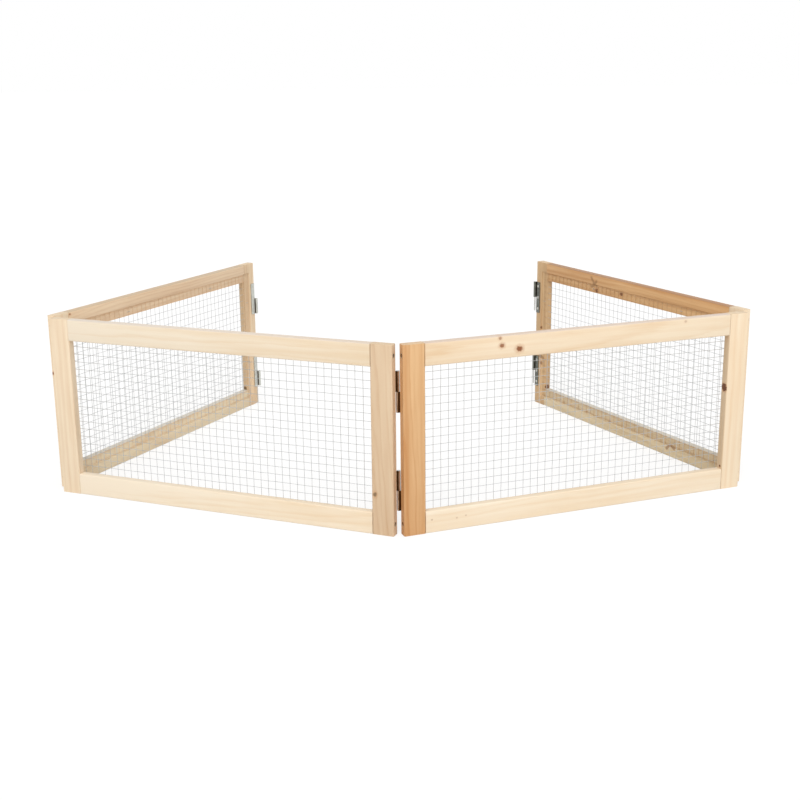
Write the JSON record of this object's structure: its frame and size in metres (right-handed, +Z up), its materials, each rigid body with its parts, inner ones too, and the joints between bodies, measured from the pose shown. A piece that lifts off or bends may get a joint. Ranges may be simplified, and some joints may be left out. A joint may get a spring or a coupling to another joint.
{
  "type": "guinea pig run",
  "caption": "Folding pet run: low pine frames filled with welded wire mesh, linked in a chain by lift-off hinges so that the panels swing, stand free and lift apart.",
  "frame": {"origin": "on the ground, under the middle of the box round the standing run", "axes": "+X along the width of the run, towards the right back panel; +Y from the front fold towards the open back; +Z up"},
  "size_m": [1.1538, 0.7834, 0.297],
  "materials": {
    "pine": "planed and unvarnished",
    "galvanised_wire": "dull zinc",
    "hinge_steel": "zinc plated",
    "fastener_steel": "zinc plated"
  },
  "bodies": {
    "back_left": {"back_left_left_stile": "pine", "back_left_right_stile": "pine", "back_left_bottom_rail": "pine", "back_left_top_rail": "pine", "back_left_wire_mesh": "galvanised_wire", "back_left_mesh_staples": "fastener_steel", "back_left_frame_screws": "fastener_steel", "back_left_upper_socket_hinge": "hinge_steel", "back_left_lower_socket_hinge": "hinge_steel", "back_left_upper_pin_hinge": "hinge_steel", "back_left_lower_pin_hinge": "hinge_steel", "back_left_hinge_screws": "fastener_steel"},
    "front_left": {"front_left_left_stile": "pine", "front_left_right_stile": "pine", "front_left_bottom_rail": "pine", "front_left_top_rail": "pine", "front_left_wire_mesh": "galvanised_wire", "front_left_mesh_staples": "fastener_steel", "front_left_frame_screws": "fastener_steel", "front_left_upper_socket_hinge": "hinge_steel", "front_left_lower_socket_hinge": "hinge_steel", "front_left_upper_pin_hinge": "hinge_steel", "front_left_lower_pin_hinge": "hinge_steel", "front_left_hinge_screws": "fastener_steel"},
    "front_right": {"front_right_left_stile": "pine", "front_right_right_stile": "pine", "front_right_bottom_rail": "pine", "front_right_top_rail": "pine", "front_right_wire_mesh": "galvanised_wire", "front_right_mesh_staples": "fastener_steel", "front_right_frame_screws": "fastener_steel", "front_right_upper_socket_hinge": "hinge_steel", "front_right_lower_socket_hinge": "hinge_steel", "front_right_upper_pin_hinge": "hinge_steel", "front_right_lower_pin_hinge": "hinge_steel", "front_right_hinge_screws": "fastener_steel"},
    "back_right": {"back_right_left_stile": "pine", "back_right_right_stile": "pine", "back_right_bottom_rail": "pine", "back_right_top_rail": "pine", "back_right_wire_mesh": "galvanised_wire", "back_right_mesh_staples": "fastener_steel", "back_right_frame_screws": "fastener_steel", "back_right_upper_socket_hinge": "hinge_steel", "back_right_lower_socket_hinge": "hinge_steel", "back_right_upper_pin_hinge": "hinge_steel", "back_right_lower_pin_hinge": "hinge_steel", "back_right_hinge_pins": "hinge_steel", "back_right_hinge_screws": "fastener_steel"},
    "right_corner_pins": {"front_right_hinge_pins": "hinge_steel"},
    "centre_pins": {"front_left_hinge_pins": "hinge_steel"},
    "left_corner_pins": {"back_left_hinge_pins": "hinge_steel"}
  },
  "joints": [
    {"name": "right_corner_lift", "type": "slide", "parent": "back_right", "child": "right_corner_pins", "axis": [0, 0, 1], "range_m": [0, 0.035]},
    {"name": "right_corner_fold", "type": "hinge", "parent": "right_corner_pins", "child": "front_right", "pos_m": [0.56259, -0.15693, 0.1485], "axis": [0, 0, 1], "range_deg": [-19, 106]},
    {"name": "centre_lift", "type": "slide", "parent": "front_right", "child": "centre_pins", "axis": [0, 0, 1], "range_m": [0, 0.035]},
    {"name": "centre_fold", "type": "hinge", "parent": "centre_pins", "child": "front_left", "pos_m": [0.00022, -0.37618, 0.1485], "axis": [0, 0, 1], "range_deg": [-13, 52]},
    {"name": "left_corner_lift", "type": "slide", "parent": "front_left", "child": "left_corner_pins", "axis": [0, 0, 1], "range_m": [0, 0.035]},
    {"name": "left_corner_fold", "type": "hinge", "parent": "left_corner_pins", "child": "back_left", "pos_m": [-0.56215, -0.15693, 0.1485], "axis": [0, 0, 1], "range_deg": [-21, 104]}
  ]
}
